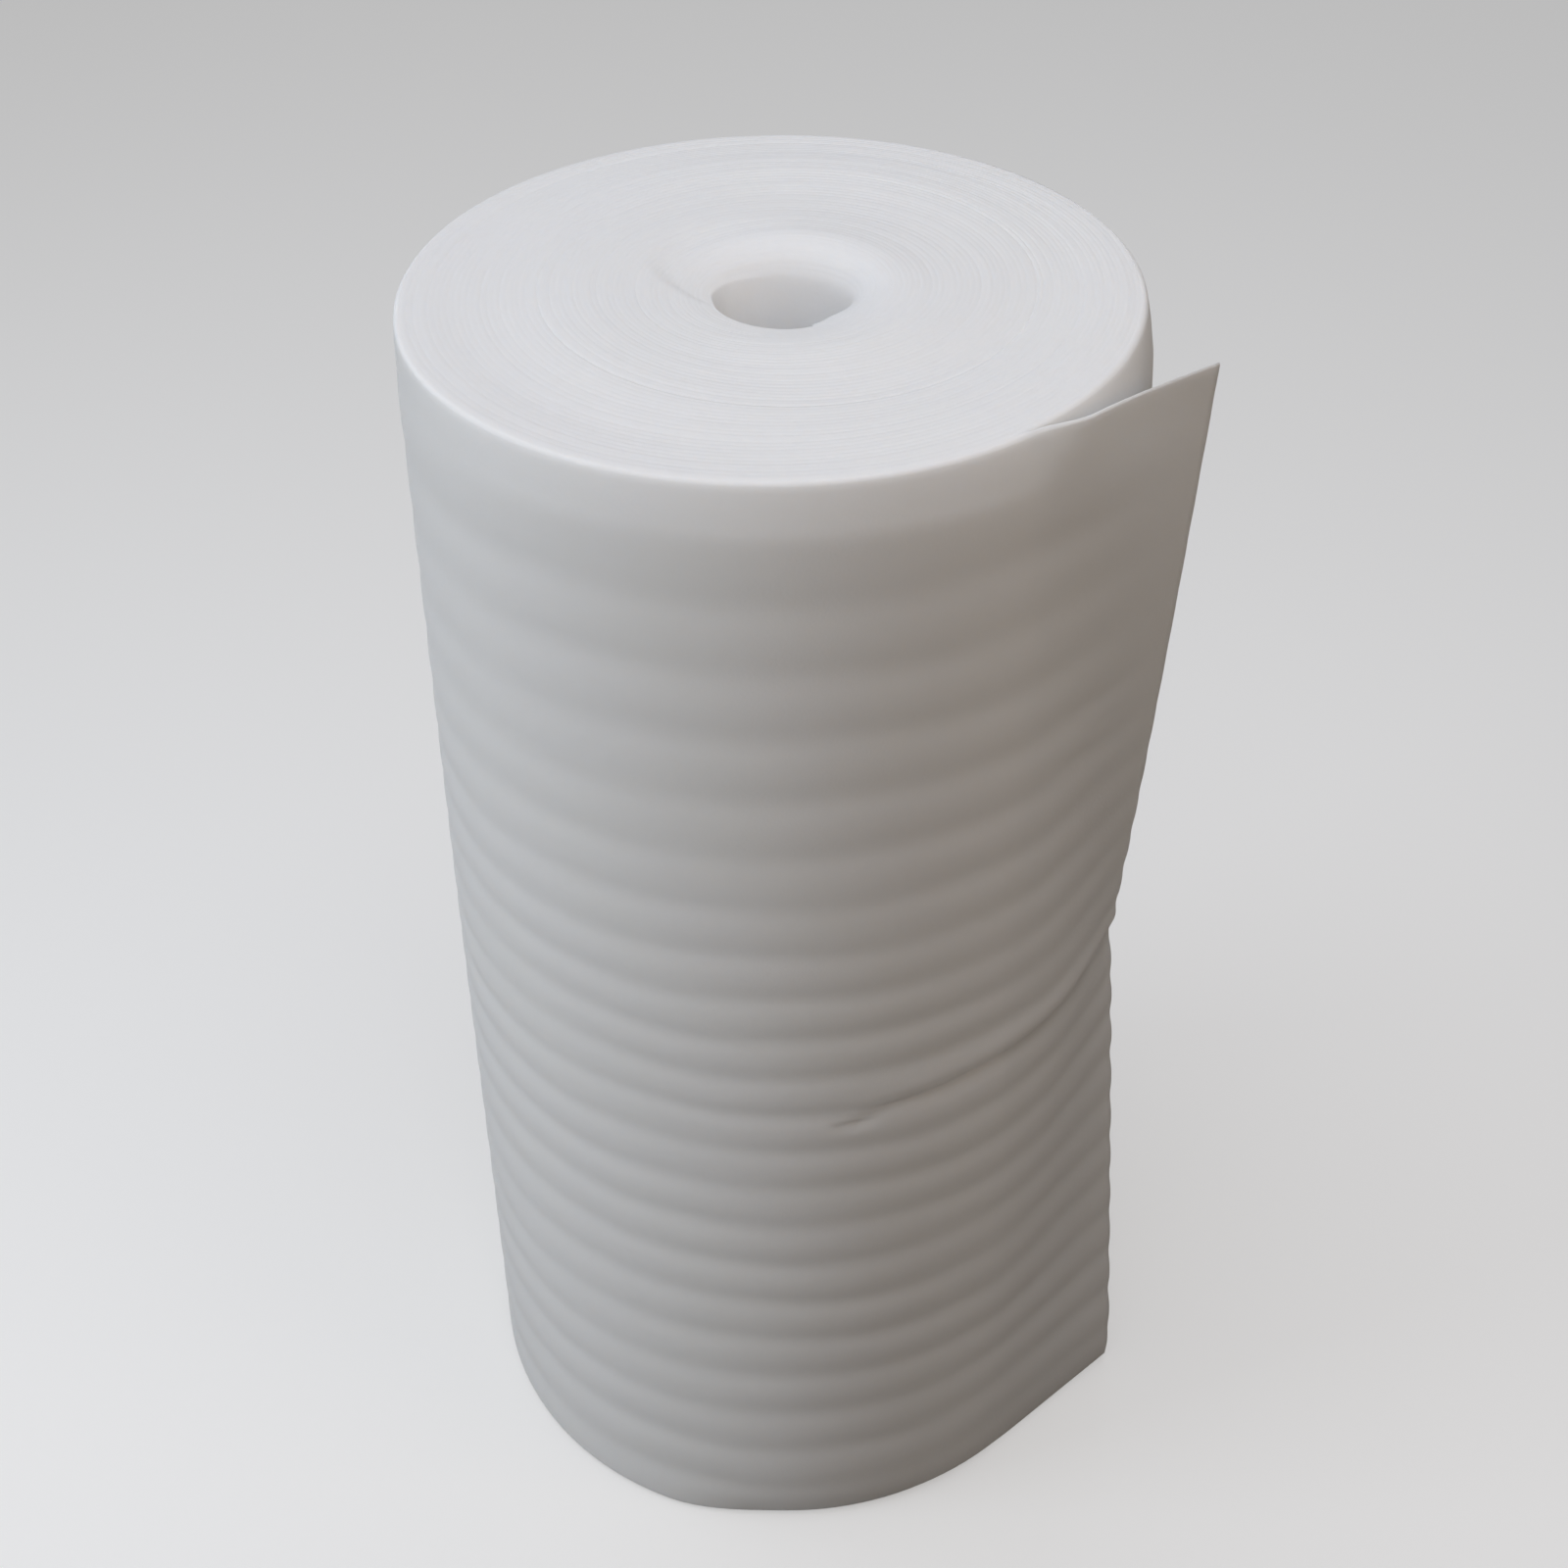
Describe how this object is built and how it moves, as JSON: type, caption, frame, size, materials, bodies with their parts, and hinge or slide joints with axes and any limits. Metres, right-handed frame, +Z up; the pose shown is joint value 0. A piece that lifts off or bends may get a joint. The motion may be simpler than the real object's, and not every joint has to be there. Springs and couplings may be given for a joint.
{
  "type": "foam wrap roll",
  "caption": "Tall roll of white polyethylene foam sheet standing on its end, with an open core hole and its free end peeling off the wall as a flap.",
  "frame": {"origin": "centre of the core hole at the foot, on the surface that the roll stands on", "axes": "+Z up along the core hole, -Y towards the viewer, +X towards the side where the free end peels off"},
  "size_m": [0.5387, 0.5116, 1],
  "materials": {
    "foam": "matt closed-cell foam"
  },
  "bodies": {
    "root": {"winding": "foam", "free_end": "foam"}
  },
  "joints": []
}
